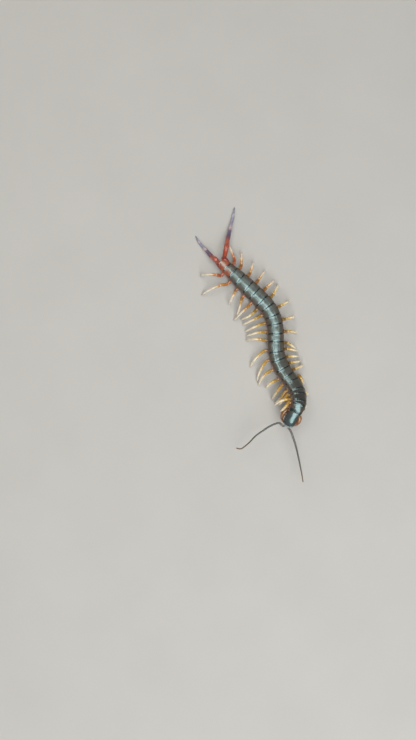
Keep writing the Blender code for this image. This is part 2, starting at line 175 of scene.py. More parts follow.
def curve_at(knots, place):
    """The point at place, counted in knots, on the smooth curve through them."""
    k = min(max(int(place), 0), len(knots) - 2)
    before = knots[k - 1] if k > 0 else knots[0] * 2 - knots[1]
    after = knots[k + 2] if k + 2 < len(knots) else knots[-1] * 2 - knots[-2]
    return catmull(before, knots[k], knots[k + 1], after, place - k)


def curve(knots, steps):
    """Points at equal steps on the smooth curve through the knots."""
    return [curve_at(knots, (len(knots) - 1) * n / steps) for n in range(steps + 1)]


def closed_section(half):
    """All points of a section whose right half is given from top to bottom."""
    return [Vector(point) for point in half + [(-x, z) for x, z in reversed(half[1:-1])]]


def section_point(section, place):
    """The point at place, counted in points, on the smooth closed curve through a section."""
    k = math.floor(place)
    return catmull(*[section[(k + i) % len(section)] for i in (-1, 0, 1, 2)], place - k)


# The pose

def direction(heading, pitch):
    h = math.radians(heading)
    p = math.radians(pitch)
    return Vector((math.sin(h) * math.cos(p), -math.cos(h) * math.cos(p), math.sin(p)))


def trunk_joints():
    ways = [direction(heading, pitch) for length, heading, pitch in SEGMENTS]
    points = [Vector(TAIL_END)]
    for (length, heading, pitch), way in zip(SEGMENTS, ways):
        points.append(points[-1] + way * length)
    return points, [ways[0], *[(a + b).normalized() for a, b in zip(ways, ways[1:])], ways[-1]]


JOINTS, JOINT_WAYS = trunk_joints()


def axes(forward):
    """Unit vectors to the right, up and forward, with no roll."""
    forward = forward.normalized()
    right = forward.cross(UP).normalized()
    return right, right.cross(forward), forward


def spine(t):
    """The trunk's axis at t segments from the tail: the point there and its three axes."""
    k = min(max(int(t), 0), SEGMENT_COUNT - 1)
    u = t - k
    length = SEGMENTS[k][0]
    a, b = JOINTS[k], JOINTS[k + 1]
    way_a, way_b = JOINT_WAYS[k] * length, JOINT_WAYS[k + 1] * length
    point = a * (2 * u**3 - 3 * u**2 + 1) + way_a * (u**3 - 2 * u**2 + u)
    point += b * (3 * u**2 - 2 * u**3) + way_b * (u**3 - u**2)
    slope = (a - b) * (6 * u**2 - 6 * u) + way_a * (3 * u**2 - 4 * u + 1) + way_b * (3 * u**2 - 2 * u)
    right, up, forward = axes(slope)
    lean = math.radians(along_table(LEANS, t))
    c, s = math.cos(lean), math.sin(lean)
    return point, (right * c + up * s, up * c - right * s, forward)


def half_width(t):
    k = min(max(int(t), 0), SEGMENT_COUNT - 1)
    return mix(HALF_WIDTHS[k], HALF_WIDTHS[k + 1], t - k)


NECK = JOINTS[-1] + direction(HEAD_HEADING, HEAD_PITCH) * NECK_GAP
HEAD_RIGHT, HEAD_UPWARD, HEAD_FORWARD = axes(direction(HEAD_HEADING, HEAD_PITCH))


def head_point(side, out, ahead, up):
    return NECK + HEAD_RIGHT * side * out + HEAD_FORWARD * ahead + HEAD_UPWARD * up


def head_points(side, rows):
    return [head_point(side, *row) for row in rows]


def chain(bend, length):
    """The joints of a leg beyond its coxa, as (distance along the ground, height), curled down by bend."""
    angle = 0.0
    joints = [(0.0, 0.0)]
    for article, share in zip(ARTICLES[1:], (0, *BEND_SHARES)):
        angle -= bend * share
        x, z = joints[-1]
        joints.append((x + math.cos(angle) * article * length, z + math.sin(angle) * article * length))
    return joints


def leg_profile(length, reach, drop):
    span = math.hypot(reach, drop)
    low, high = 0.0, math.radians(300)
    for _ in range(40):
        bend = (low + high) / 2
        x, z = chain(bend, length)[-1]
        if math.hypot(x, z) > span:
            low = bend
        else:
            high = bend
    joints = chain(bend, length)
    turn = math.atan2(-drop, reach) - math.atan2(joints[-1][1], joints[-1][0])
    c, s = math.cos(turn), math.sin(turn)
    return [(x * c - z * s, x * s + z * c) for x, z in joints]


def leg_joints(pair, side, row):
    """The points from root to foot of a walking leg."""
    length, root_ahead, foot_out, foot_ahead, bow, foot_height = row
    t = SEGMENT_COUNT - pair + 0.5
    centre, (right, up, forward) = spine(t)
    wide = half_width(t)
    if foot_out < wide:
        root_out = wide * BELLY_ROOT_OUT
        root_down = wide * BELLY_ROOT_DOWN
        coxa = -up
    else:
        root_out = wide * LEG_ROOT_OUT + LEG_ROOT_GAP
        root_down = wide * LEG_ROOT_DOWN
        coxa = right * side
    root = centre + right * side * root_out + forward * root_ahead - up * root_down
    hip = root + coxa * ARTICLES[0] * length
    level_ahead = Vector((forward.x, forward.y, 0)).normalized()
    foot = centre + right * side * foot_out + level_ahead * foot_ahead
    foot.z = foot_height + FOOT_HEIGHT
    ground = Vector((foot.x - hip.x, foot.y - hip.y, 0))
    half_turn = math.radians(bow)
    reach = ground.length * (half_turn / math.sin(half_turn) if bow else 1.0)
    along = ground.normalized()
    across = (level_ahead - along * level_ahead.dot(along)).normalized()
    points = [root]
    for x, z in leg_profile(length, reach, hip.z - foot.z):
        straight, aside = x, 0.0
        if bow:
            arc = half_turn * (2 * x / reach - 1)
            radius = reach / (2 * half_turn)
            straight = radius * (math.sin(arc) + math.sin(half_turn))
            aside = radius * (math.cos(half_turn) - math.cos(arc))
        points.append(hip + along * straight + across * aside + Vector((0, 0, z)))
    return points, Vector((foot.x, foot.y, foot_height))


# The body's surface

BODY_SECTION = closed_section(BODY_HALF)


def body_point(t, place, lift):
    """A point that stands lift above the body's surface."""
    centre, (right, up, forward) = spine(t)
    wide = half_width(t)
    belly = wide * HEIGHT_TO_WIDTH
    back = belly * (1 - NECK_DIP * ease(SEGMENT_COUNT - 1.2, SEGMENT_COUNT + 0.15, t))
    points = []
    for a in (place - 0.02, place, place + 0.02):
        x, z = section_point(BODY_SECTION, a)
        points.append((x * wide, z * (back if z > 0 else belly)))
    (x0, z0), (x, z), (x1, z1) = points
    across, rise = z0 - z1, x1 - x0
    size = math.hypot(across, rise)
    return centre + right * (x + across / size * lift) + up * (z + rise / size * lift)


# Meshes

SHARP_EDGE = 50


def place_object(name, data):
    made = bpy.data.objects.new(name, data)
    bpy.context.scene.collection.objects.link(made)
    return made


class Shape:
    """A mesh being made. Its points carry marks, numbers that the materials read by name."""

    def __init__(self, *marks):
        self.bm = bmesh.new()
        self.layers = {name: self.bm.verts.layers.float.new(name) for name in marks}

    def ring(self, points, **marks):
        """Adds points with their marks; a mark is a number, a list with one for each point, or else 0."""
        made = []
        for i, point in enumerate(points):
            vert = self.bm.verts.new(point * MM)
            for name, value in marks.items():
                vert[self.layers[name]] = value[i] if isinstance(value, list) else value
            made.append(vert)
        return made

    def bands(self, rows, loop=True):
        """Faces between each row of points and the next."""
        for first, second in zip(rows, rows[1:]):
            count = len(first)
            for i in range(count if loop else count - 1):
                j = (i + 1) % count
                self.bm.faces.new((first[i], first[j], second[j], second[i]))

    def cap(self, ring):
        """Closes a ring with a fan to its middle."""
        middle = self.bm.verts.new(sum((v.co for v in ring), Vector()) / len(ring))
        for layer in self.layers.values():
            middle[layer] = ring[0][layer]
        for i, vert in enumerate(ring):
            self.bm.faces.new((vert, ring[(i + 1) % len(ring)], middle))

    def loft(self, rings):
        self.bands(rings)
        self.cap(rings[0])
        self.cap(rings[-1])

    def done(self, name, skin, slot, *nodes):
        """Finishes the piece, which stands for the named solids."""
        bmesh.ops.recalc_face_normals(self.bm, faces=self.bm.faces)
        mesh = bpy.data.meshes.new(name)
        self.bm.to_mesh(mesh)
        self.bm.free()
        mesh.shade_smooth()
        mesh.set_sharp_from_angle(angle=math.radians(SHARP_EDGE))
        mesh.materials.append(skin)
        piece = place_object(name, mesh)
        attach(piece, "root")
        if nodes:
            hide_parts(*nodes)


def path_frames(points):
    """Two cross directions at each point of a path, carried along it without twisting."""
    ways = [(b - a).normalized() for a, b in zip(points, points[1:])]
    ways.append(ways[-1])
    ways = [ways[0]] + [(a + b).normalized() for a, b in zip(ways, ways[1:])]
    start = ways[0].orthogonal() if abs(ways[0].z) > 0.95 else UP
    first = (start - ways[0] * start.dot(ways[0])).normalized()
    frames = []
    for way in ways:
        first = (first - way * first.dot(way)).normalized()
        frames.append((first, way.cross(first)))
    return frames


def circle(middle, first, second, radius, sides):
    return [
        middle + (first * math.cos(math.tau * i / sides) + second * math.sin(math.tau * i / sides)) * radius
        for i in range(sides)
    ]


def add_tube(shape, points, radii, marks, sides=16):
    """A round closed body along points; marks holds a list for each mark, with one number a point."""
    rings = []
    for n, (middle, radius, (first, second)) in enumerate(zip(points, radii, path_frames(points))):
        values = {name: row[n] for name, row in marks.items()}
        rings.append(shape.ring(circle(middle, first, second, radius, sides), **values))
    shape.loft(rings)


def add_dome(shape, middle, way, first, second, rows):
    """A low round or oval body on a surface, from rings given as (height, share of its size)."""
    shape.loft([shape.ring(circle(middle + way * high, first, second, wide, 20)) for high, wide in rows])


# Materials

def linear(code):
    """A colour written as rrggbb, as Blender's linear numbers."""
    out = []
    for i in (0, 2, 4):
        c = int(code[i:i + 2], 16) / 255
        out.append(c / 12.92 if c <= 0.04045 else ((c + 0.055) / 1.055) ** 2.4)
    return (*out, 1.0)


class Finish:
    """A material under construction, with short ways to add nodes to it."""

    def __init__(self, name):
        self.material = bpy.data.materials.new(name)
        self.material.use_nodes = True
        self.tree = self.material.node_tree
        self.shader = self.tree.nodes["Principled BSDF"]
        self.place = self.tree.nodes.new("ShaderNodeTexCoord").outputs["Object"]

    def feed(self, socket, value):
        """Links a pattern to a node's socket, or sets a plain value there."""
        if isinstance(value, bpy.types.NodeSocket):
            self.tree.links.new(value, socket)
        else:
            socket.default_value = value

    def node(self, kind, inputs=None, **settings):
        made = self.tree.nodes.new(kind)
        for name, value in settings.items():
            setattr(made, name, value)
        for name, value in (inputs or {}).items():
            self.feed(made.inputs[name], value)
        return made

    def mark(self, name):
        return self.node("ShaderNodeAttribute", attribute_name=name).outputs["Fac"]

    def noise(self, scale, detail=3.0, stretch=None):
        """Noise with features about 1/scale metres long."""
        place = self.place
        if stretch:
            place = self.node("ShaderNodeMapping", {"Vector": place, "Scale": stretch}).outputs["Vector"]
        made = self.node("ShaderNodeTexNoise", {"Vector": place, "Scale": scale, "Detail": detail})
        return made.outputs["Fac"]

    def cells(self, scale):
        made = self.node("ShaderNodeTexVoronoi", {"Vector": self.place, "Scale": scale})
        return made.outputs["Distance"]

    def ramp(self, value, stops, smooth=False):
        """Colours or numbers at places from 0 to 1."""
        made = self.node("ShaderNodeValToRGB", {"Fac": value})
        ramp = made.color_ramp
        ramp.interpolation = "EASE" if smooth else "LINEAR"
        while len(ramp.elements) < len(stops):
            ramp.elements.new(0.5)
        for element, (place, what) in zip(ramp.elements, stops):
            element.position = place
            element.color = linear(what) if isinstance(what, str) else (what, what, what, 1)
        return made.outputs["Color"]

    def blend(self, share, first, second, kind="MIX"):
        """Two colours mixed; a colour is a code or a socket."""
        made = self.node("ShaderNodeMix", data_type="RGBA", blend_type=kind)
        for index, value in ((0, share), (6, first), (7, second)):
            self.feed(made.inputs[index], linear(value) if isinstance(value, str) else value)
        return made.outputs[2]

    def relief(self, *layers):
        """Relief from layers of (pattern, depth in millimetres)."""
        inputs = {"Strength": 1.0}
        for height, depth in layers:
            bump = self.node("ShaderNodeBump", {**inputs, "Height": height, "Distance": depth * MM})
            inputs["Normal"] = bump.outputs["Normal"]
        return inputs["Normal"]

    def done(self, color, roughness, normal, **sockets):
        """Links the patterns and sets the plain numbers on the shader's own sockets."""
        for name, value in (("Base Color", color), ("Roughness", roughness), ("Normal", normal)):
            self.feed(self.shader.inputs[name], value)
        for name, value in sockets.items():
            self.shader.inputs[name.replace("_", " ").title().replace("Ior", "IOR")].default_value = value
        return self.material


def plate_finish(name, run, dark, side, rim):
    """Polished horny plate, finely pitted. Its colour runs along the body, mottled dark, browner to the
    sides, orange where the mark warm says and darker at its rims: partly a real dark margin, partly
    painted shade in the gaps and steps between plates."""
    f = Finish(name)
    base = f.ramp(f.mark("run"), run)
    mottle = f.blend(f.ramp(f.noise(420, 5), [(0.35, 0.0), (0.68, 0.55)]), base, dark)
    speck = f.ramp(f.noise(3600, 2), [(0.42, 0.0), (0.62, 0.35)])
    mottle = f.blend(speck, mottle, dark)
    flank = f.ramp(f.mark("flank"), [(0.25, 0.0), (0.9, 0.85)], smooth=True)
    sided = f.blend(flank, mottle, side)
    orange = f.blend(f.ramp(f.noise(600, 4), [(0.35, 0.0), (0.7, 1.0)]), "74361f", "98502f")
    warmed = f.blend(f.mark("warm"), sided, orange)
    # Partly painted shade: the rim mark darkens the edges towards the rim colour. That is a real dark margin
    # plus painted shade of the gaps and steps between plates.
    color = f.blend(f.mark("rim"), warmed, rim)
    pits = f.ramp(f.cells(2600), [(0.0, 0.0), (0.22, 1.0)])
    relief = f.relief((pits, 0.006), (f.noise(1500, 4), 0.026))
    roughness = f.ramp(f.noise(900, 4), [(0.3, 0.17), (0.75, 0.3)])
    return f.done(color, roughness, relief, specular_ior_level=1.0, coat_weight=0.25, coat_roughness=0.08,
                  specular_tint=(0.66, 1.0, 0.98, 1))


def membrane_finish():
    f = Finish("side_membrane")
    base = f.blend(f.ramp(f.noise(700, 5), [(0.35, 0.0), (0.65, 1.0)]), "5e4b4c", "8d7370")
    # Painted shade: the skin is darkened in its creases, between the plates, and where it tucks in at the
    # tail, the neck and under the head plate.
    folded = f.blend(f.mark("fold"), base, "2c2222")
    warm = f.blend(f.ramp(f.mark("along"), [(0.02, 1.0), (0.12, 0.0)]), folded, "8e3f33")
    creases = f.noise(2600, 4, (1.0, 1.0, 2.2))
    relief = f.relief((creases, 0.05), (f.noise(900, 3), 0.08))
    return f.done(warm, 0.48, relief, specular_ior_level=0.5, coat_weight=0.15, coat_roughness=0.3)


def leg_finish(name, stops, joint):
    """Horny leg whose colour runs from base to tip and changes in the soft skin at its joints."""
    f = Finish(name)
    run = f.ramp(f.mark("along"), stops)
    blotch = f.ramp(f.noise(1100, 4), [(0.35, 0.0), (0.7, 0.45)])
    reddened = f.blend(f.mark("red"), run, "b0543a")
    shaded = f.blend(blotch, reddened, "8a7a66", "MULTIPLY")
    jointed = f.blend(f.mark("groove"), shaded, joint)
    color = f.blend(f.mark("claw"), jointed, "1a0f0b")
    relief = f.relief((f.noise(5200, 3), 0.008), (f.noise(1600, 3), 0.02))
    roughness = f.ramp(f.noise(1300, 3), [(0.3, 0.26), (0.7, 0.42)])
    return f.done(color, roughness, relief, subsurface_weight=0.12, subsurface_radius=(0.6, 0.35, 0.2),
                  subsurface_scale=0.0005, coat_weight=0.25, coat_roughness=0.15)


def antenna_finish():
    f = Finish("feeler_shell")
    run = f.ramp(f.mark("along"), [
        (0.0, "3f443c"), (0.05, "585a50"), (0.09, "8d7d78"), (0.13, "6a6a60"), (0.3, "4d5148"),
        (0.62, "50524a"), (0.85, "5d5040"), (1.0, "6b5238"),
    ])
    mottled = f.blend(f.ramp(f.noise(2200, 4), [(0.4, 0.0), (0.7, 0.4)]), run, "2c2e29")
    color = f.blend(f.mark("groove"), mottled, "262420")
    relief = f.relief((f.noise(9000, 2), 0.01))
    roughness = f.ramp(f.mark("along"), [(0.25, 0.26), (0.42, 0.5)])
    return f.done(color, roughness, relief, specular_ior_level=0.5)


def shell_finish(name, base, light, tip, joint):
    """Forcipules and the plates below the head: warm brown, darker in the grooves, black at the points."""
    f = Finish(name)
    mottle = f.blend(f.ramp(f.noise(800, 5), [(0.35, 0.0), (0.7, 1.0)]), base, light)
    jointed = f.blend(f.mark("groove"), mottle, joint)
    color = f.blend(f.mark("claw"), jointed, tip)
    pits = f.ramp(f.cells(2400), [(0.0, 0.0), (0.2, 1.0)])
    relief = f.relief((pits, 0.008), (f.noise(1500, 3), 0.02))
    roughness = f.ramp(f.noise(900, 3), [(0.3, 0.2), (0.7, 0.34)])
    return f.done(color, roughness, relief, coat_weight=0.4, coat_roughness=0.1)


def lens_finish():
    f = Finish("eye_lens_black")
    color = f.blend(f.noise(3000, 2), "07070a", "15151b")
    relief = f.relief((f.noise(6000, 2), 0.002))
    return f.done(color, 0.06, relief, coat_weight=1.0, coat_roughness=0.03)


# In each plate finish the last colour is the dark rim colour. It paints shade into the gaps between plates
# as well as giving a real margin.
BACK = plate_finish("back_plate_shell", [
    (0.05, "5c5047"), (0.11, "5d5f59"), (0.3, "5a5d57"), (0.38, "4d4a43"), (0.6, "48453d"), (0.7, "4b463e"),
    (0.8, "413b35"), (0.88, "322c27"), (0.95, "37312b"), (1.0, "453f38"),
], "2f2a25", "4a3527", "100f0d")
BELLY_PLATE = plate_finish(
    "belly_plate_shell", [(0.0, "86704c"), (1.0, "7d6a4a")], "5b4c34", "6a4f3c", "3d3122",
)
HEAD = plate_finish("head_plate_shell", [(0.0, "33393a"), (1.0, "3f4442")], "1c2021", "3a3029", "14130f")
MEMBRANE = membrane_finish()
LEG_YELLOW = leg_finish("leg_yellow_shell", [
    (0.0, "6e4a2a"), (0.09, "9a7236"), (0.26, "b88e3c"), (0.42, "bf9a48"), (0.5, "cdb98f"), (0.62, "d8c9ab"),
    (0.9, "dccfb4"), (1.0, "bfa478"),
], "dccfae")
LEG_ORANGE = leg_finish("leg_orange_shell", [
    (0.0, "84452a"), (0.09, "a56833"), (0.26, "b58038"), (0.42, "b98a45"), (0.5, "c9b394"), (0.62, "d3c5b0"),
    (0.9, "d6c9b6"), (1.0, "b39a78"),
], "d9ccb4")
LEG_RED = leg_finish("leg_red_shell", [
    (0.0, "7e2f2a"), (0.1, "a5482f"), (0.38, "a34a30"), (0.42, "7c4448"), (0.48, "5a4a60"), (0.56, "63566d"),
    (0.6, "b9a3a3"), (0.66, "8b8496"), (0.77, "8a879c"), (0.8, "b3a7ae"), (0.86, "8d8da2"), (1.0, "77747f"),
], "a06a62")
ANTENNA = antenna_finish()
FORCIPULE_SHELL = shell_finish("forcipule_shell_brown", "6b4426", "94673a", "0d0807", "382012")
MOUTH_SHELL = shell_finish("mouth_shell", "80552f", "a67a48", "2a140b", "4b2a17")
LENS = lens_finish()


# The trunk

SKIN_RINGS = 14
SKIN_SIDES = 72
# How the skin closes, at the tail as (distance behind, scale) and in the head as (ahead, width, height).
SKIN_TAIL = ((0.95, 0.5), (0.8, 0.75), (0.5, 0.92))
SKIN_NECK = ((0.2, 2.0, 1.2), (1.0, 1.9, 1.0))


def skin_lift(t, place):
    """How far the soft skin stands from the body's surface, and how much painted shade its creases get."""
    u = t - math.floor(t)
    down = abs(place)
    between = hump(min(u, 1 - u), 0, 0.09)
    side = ease(BACK_EDGE - 0.6, BACK_EDGE + 0.4, down)
    side *= 1 - ease(BELLY - BELLY_EDGE - 0.6, BELLY - 2.2, down)
    wave = math.sin(math.tau * (u * 2.5 + 0.25 * math.sin(down * 1.9))) * 0.5
    wave += noise.noise(Vector((t * 5.0, down * 1.3, 3.0 + math.copysign(1, place)))) * 0.9
    swell = math.sin(math.pi * u) ** 0.8
    lift = mix(-0.2, 0.05 * swell + 0.05 * wave * swell - 0.04, side) - 0.16 * between
    fold = min(max(0.75 * between - 0.35 * wave * side, 0), 1)
    return lift, fold


def make_skin():
    """One continuous skin from the tail to the neck, which shows between the plates and along the sides."""
    shape = Shape("fold", "along")
    rings = []
    places = [BELLY * 2 * (i / SKIN_SIDES) for i in range(SKIN_SIDES)]
    places = [a if a <= BELLY else a - 2 * BELLY for a in places]
    for n in range(-1, SEGMENT_COUNT * SKIN_RINGS + 2):
        t = n / SKIN_RINGS
        lifts, folds = zip(*[skin_lift(t, place) for place in places])
        points = [body_point(t, place, lift) for place, lift in zip(places, lifts)]
        rings.append(shape.ring(points, fold=list(folds), along=t / SEGMENT_COUNT))
    # The closing rings at the tail and the neck get a fixed share of painted shade where the skin tucks in.
    tail_ends = []
    centre, (right, up, forward) = spine(0)
    last = [v.co / MM for v in rings[0]]
    for back, scale in SKIN_TAIL:
        points = [centre + (p - centre) * scale - forward * back for p in last]
        tail_ends.append(shape.ring(points, fold=0.3, along=0))
    neck_ends = []
    section = [section_point(BODY_SECTION, place) for place in places]
    for ahead, wide, high in SKIN_NECK:
        points = [head_point(1, x * wide, ahead, z * high - 0.3) for x, z in section]
        neck_ends.append(shape.ring(points, fold=0.4, along=1))
    shape.loft(tail_ends + rings + neck_ends)
    shape.done("trunk_skin", MEMBRANE, "back_plate", *[f"trunk_{n}" for n in range(1, 8)])


# How far a plate laps over the one behind it, and reaches under the one ahead or the head.
PLATE_OVERLAP = 0.34
PLATE_UNDER = 0.12
FIRST_PLATE_UNDER = 0.5
TAIL_PLATE_OVERLAP = 0.95
PLATE_THICKNESS = 0.13
RIM_ROUND = 0.1
# About how many millimetres one step of places on the section is.
PLACE_WIDTH = 0.9
BELLY_GROOVE = 1.2
FIRST_RIMMED_PLATE = 8
PLATE_MARKS = ("flank", "rim", "run", "warm")


def rounded_edge(gap, depth):
    """How far a plate's face has fallen at the distance gap from its rounded edge."""
    return depth * (1 - math.sqrt(max(1 - (1 - min(gap / RIM_ROUND, 1)) ** 2, 0)))


def plate_columns(edge, suture):
    """Places across half a plate, close together at the suture and at the side."""
    steps = [i / 16 * edge for i in range(15)]
    if suture:
        steps += [suture + d for d in (-0.22, -0.12, -0.05, 0.05, 0.12, 0.22)]
    steps += [edge - d for d in (0.5, 0.4, 0.3, 0.22, 0.15, 0.1, 0.06, 0.03, 0.01, 0)]
    steps = sorted(set(round(s, 3) for s in steps))
    kept = [steps[0]]
    for step in steps[1:]:
        if step - kept[-1] >= 0.009:
            kept.append(step)
    return [-s for s in reversed(kept[1:])] + kept


def plate_rows(length):
    """Distances from the rear edge of a plate, close together at both ends."""
    ends = [0, 0.01, 0.03, 0.06, 0.1, 0.16, 0.25, 0.38]
    inner = 12
    middle = [mix(0.5, length - 0.5, i / inner) for i in range(inner + 1)]
    return ends + middle + [length - d for d in reversed(ends)]


def add_plate(shape, behind, before, centre, columns, top_lift, marks):
    """A closed plate over the body from t = behind(place) to t = before. centre is the section place of its
    middle. top_lift and marks take the distances to the rear, the front, the midline and the side."""
    length = (spine(before)[0] - spine(behind(0))[0]).length
    top, bottom = [], []
    rows = plate_rows(length)
    for along in rows:
        tops, bottoms, values = [], [], []
        for a in columns:
            t = mix(behind(a), before, along / length)
            side_gap = (columns[-1] - abs(a)) * PLACE_WIDTH
            roll = rounded_edge(min(along, length - along, side_gap), PLATE_THICKNESS)
            lift = top_lift(along, length - along, a, side_gap)
            tops.append(body_point(t, centre + a, lift - roll))
            bottoms.append(body_point(t, centre + a, lift - PLATE_THICKNESS))
            values.append(marks(along, length - along, a, side_gap))
        table = {name: [value[name] for value in values] for name in values[0]}
        top.append(shape.ring(tops, **table))
        if along in (rows[0], rows[-1]):
            bottom.append(top[-1])
        else:
            inner = shape.ring(bottoms[1:-1], **{name: row[1:-1] for name, row in table.items()})
            bottom.append([top[-1][0]] + inner + [top[-1][-1]])
    shape.bands(top, loop=False)
    shape.bands(bottom, loop=False)


def make_back_plates():
    """Each plate laps over the front of the plate behind it, and carries painted shade in the step below the
    one ahead.
    """
    for k in range(SEGMENT_COUNT):
        number = SEGMENT_COUNT - k
        behind_length = SEGMENTS[max(k - 1, 0)][0]
        rear = k - (PLATE_OVERLAP if k else TAIL_PLATE_OVERLAP) / behind_length
        hidden = PLATE_UNDER if number > 1 else FIRST_PLATE_UNDER
        front = k + 1 + hidden / SEGMENTS[min(k + 1, SEGMENT_COUNT - 1)][0]
        sutured = 1 < number < SEGMENT_COUNT
        shown_front = hidden + PLATE_OVERLAP
        bead = mix(0.035, 0.09, ease(14, 17, k))

        def behind(a):
            share = abs(a) / BACK_EDGE
            if k == 0:
                return rear + 0.28 * share**2 + 0.3 * share**8
            return rear + (0.1 * share**2 + 0.45 * share**10) / behind_length

        def top_lift(along, ahead, a, side_gap):
            lift = 0.05 + 0.12 * (1 - ease(0, 0.8, along)) - 0.3 * (1 - ease(0, shown_front + 0.65, ahead))
            lift += 0.05 * math.sin(math.pi * along / (along + ahead))
            if sutured:
                lift -= 0.045 * hump(abs(a), SUTURE, 0.07) * ease(0.1, 0.5, along)
                lift += 0.02 * ease(SUTURE, 0.0, abs(a))
            if number >= FIRST_RIMMED_PLATE:
                lift += 0.05 * hump(side_gap, 0.12, 0.08) - 0.03 * hump(side_gap, 0.32, 0.1)
            return lift + bead * hump(along, 0.13, 0.08) - 0.03 * hump(along, 0.34, 0.09)

        def marks(along, ahead, a, side_gap):
            share = along / (along + ahead)
            # Painted shade: the dark band before the front edge is shade in the step below the plate ahead.
            # The dark lines at the rear edge and the sides are partly a real margin and partly painted shade
            # at the gaps.
            rear_line = 0.7 * hump(along, 0, 0.06)
            step_shade = 0.95 * ease(shown_front + 0.7, shown_front + 0.3, ahead)
            side_line = 0.6 * hump(side_gap, 0, 0.1)
            patch = 0.9 * ease(-0.8, 1.8, a) * ease(0.2, 0.8, share + 0.55)
            return {
                "flank": abs(a) / BACK_EDGE,
                "rim": max(rear_line, step_shade, side_line),
                "run": (k + share) / SEGMENT_COUNT,
                "warm": (0.95, patch, 0)[min(k, 2)],
            }

        shape = Shape(*PLATE_MARKS)
        columns = plate_columns(BACK_EDGE, SUTURE if sutured else 0)
        add_plate(shape, behind, front, 0, columns, top_lift, marks)
        shape.done(f"back_plate_{number:02d}", BACK, "back_plate")


def make_belly_plates():
    """Each belly plate has a groove on both sides of its middle and ends just short of the next."""
    for k in range(SEGMENT_COUNT):

        def behind(a):
            return k + (0.05 + 0.5 * (abs(a) / BELLY_EDGE) ** 4) / SEGMENTS[k][0]

        def top_lift(along, ahead, a, side_gap):
            swell = 0.05 * math.sin(math.pi * along / (along + ahead))
            return 0.02 + swell - 0.05 * hump(abs(a), BELLY_GROOVE, 0.09)

        def marks(along, ahead, a, side_gap):
            # Darker rear and side edges: partly a real dark margin, partly painted shade at the gaps between
            # plates.
            rim = hump(min(along, side_gap), 0, 0.08)
            return {"flank": abs(a) / BELLY_EDGE, "rim": rim, "run": k / SEGMENT_COUNT}

        shape = Shape(*PLATE_MARKS)
        columns = plate_columns(BELLY_EDGE, BELLY_GROOVE)
        add_plate(shape, behind, k + 0.97, BELLY, columns, top_lift, marks)
        shape.done(f"belly_plate_{SEGMENT_COUNT - k:02d}", BELLY_PLATE, "back_plate")


# Legs

# An article's outline, as (share of its length, share of its radius); its ends are the soft joints.
ARTICLE_PROFILE = [
    (0.0, 0.82), (0.03, 0.88), (0.08, 0.96), (0.16, 1.03), (0.3, 1.06), (0.5, 1.04), (0.7, 1.0),
    (0.85, 1.0), (0.93, 1.05), (0.97, 1.0), (0.995, 0.84),
]
ROOT_DEPTH = 0.75
CLAW_REACH = 0.22
LAST_CLAW_REACH = 0.35
RED_BASES = {1: 0.5, 19: 0.15, 20: 0.75}
LEG_MARKS = ("along", "groove", "claw", "red")


def path_shares(points):
    """How far along its path each point is, from 0 to 1."""
    lengths = [0.0]
    for a, b in zip(points, points[1:]):
        lengths.append(lengths[-1] + (b - a).length)
    return [s / lengths[-1] for s in lengths]


def add_claw(shape, points, sizes, tip):
    """The dark hooked claw at the end of a leg, from its last joint to its tip."""
    start = points[-1]
    way = (points[-1] - points[-3]).normalized()
    knots = [start - way * 0.1, start + way * 0.16, mix(start + way * 0.3, tip, 0.45), tip]
    radii = [sizes[-1] * mix(0.8, 0.12, (n / 12) ** 0.8) for n in range(13)]
    marks = {"along": [1.0] * 13, "claw": [ease(0.05, 0.3, n / 12) for n in range(13)]}
    add_tube(shape, curve(knots, 12), radii, marks, sides=10)


def add_limb(shape, knots, radii, tip, knobs=0.0, red=0.0):
    """A limb through its joints, with a claw; knobs swells its outer joints and red reddens its base."""
    points, sizes, grooves, places = [], [], [], []
    for n in range(len(knots) - 1):
        for share, factor in ARTICLE_PROFILE:
            place = (n + share) / (len(knots) - 1)
            swell = 1 + knobs * max(hump(place, joint, 0.025) for joint in (0.6, 0.8))
            places.append(place)
            points.append(curve_at(knots, n + share))
            sizes.append(mix(radii[n], radii[n + 1], share) * factor * swell)
            grooves.append(1.0 if share in (0.0, 0.995) and n + share > 0.5 else 0.0)
    shares = places if knobs else path_shares(points)
    reds = [red * ease(0.5, 0.36, share) for share in shares]
    add_tube(shape, points, sizes, {"along": shares, "groove": grooves, "red": reds})
    add_claw(shape, points, sizes, tip)
    return points, sizes


def make_walking_legs():
    for (side, word), rows in zip(SIDES, (LEGS_RIGHT, LEGS_LEFT)):
        for pair, row in enumerate(rows, start=1):
            joints, foot = leg_joints(pair, side, row)
            inward = (joints[0] - joints[1]).normalized()
            knots = [joints[0] + inward * ROOT_DEPTH] + joints[1:]
            outward = joints[-1] - joints[-3]
            outward.z = 0
            tip = foot + outward.normalized() * CLAW_REACH + UP * 0.02
            shape = Shape(*LEG_MARKS)
            add_limb(shape, knots, LEG_RADII, tip, red=RED_BASES.get(pair, 0.0))
            skin, slot = (LEG_YELLOW, "leg_yellow") if pair in YELLOW_PAIRS else (LEG_ORANGE, "leg_orange")
            shape.done(f"{word}_leg_{pair:02d}", skin, slot, f"leg_{word}_{pair:02d}")


def add_spine(shape, root, way, height, radius):
    """A short dark-tipped thorn or tooth."""
    points = [root - way * 0.1, root, root + way * height * 0.5, root + way * height]
    radii = [radius, radius, radius * 0.6, radius * 0.1]
    add_tube(shape, points, radii, {"along": [0.3] * 4, "claw": [0.0, 0.0, 0.4, 1.0]}, sides=10)


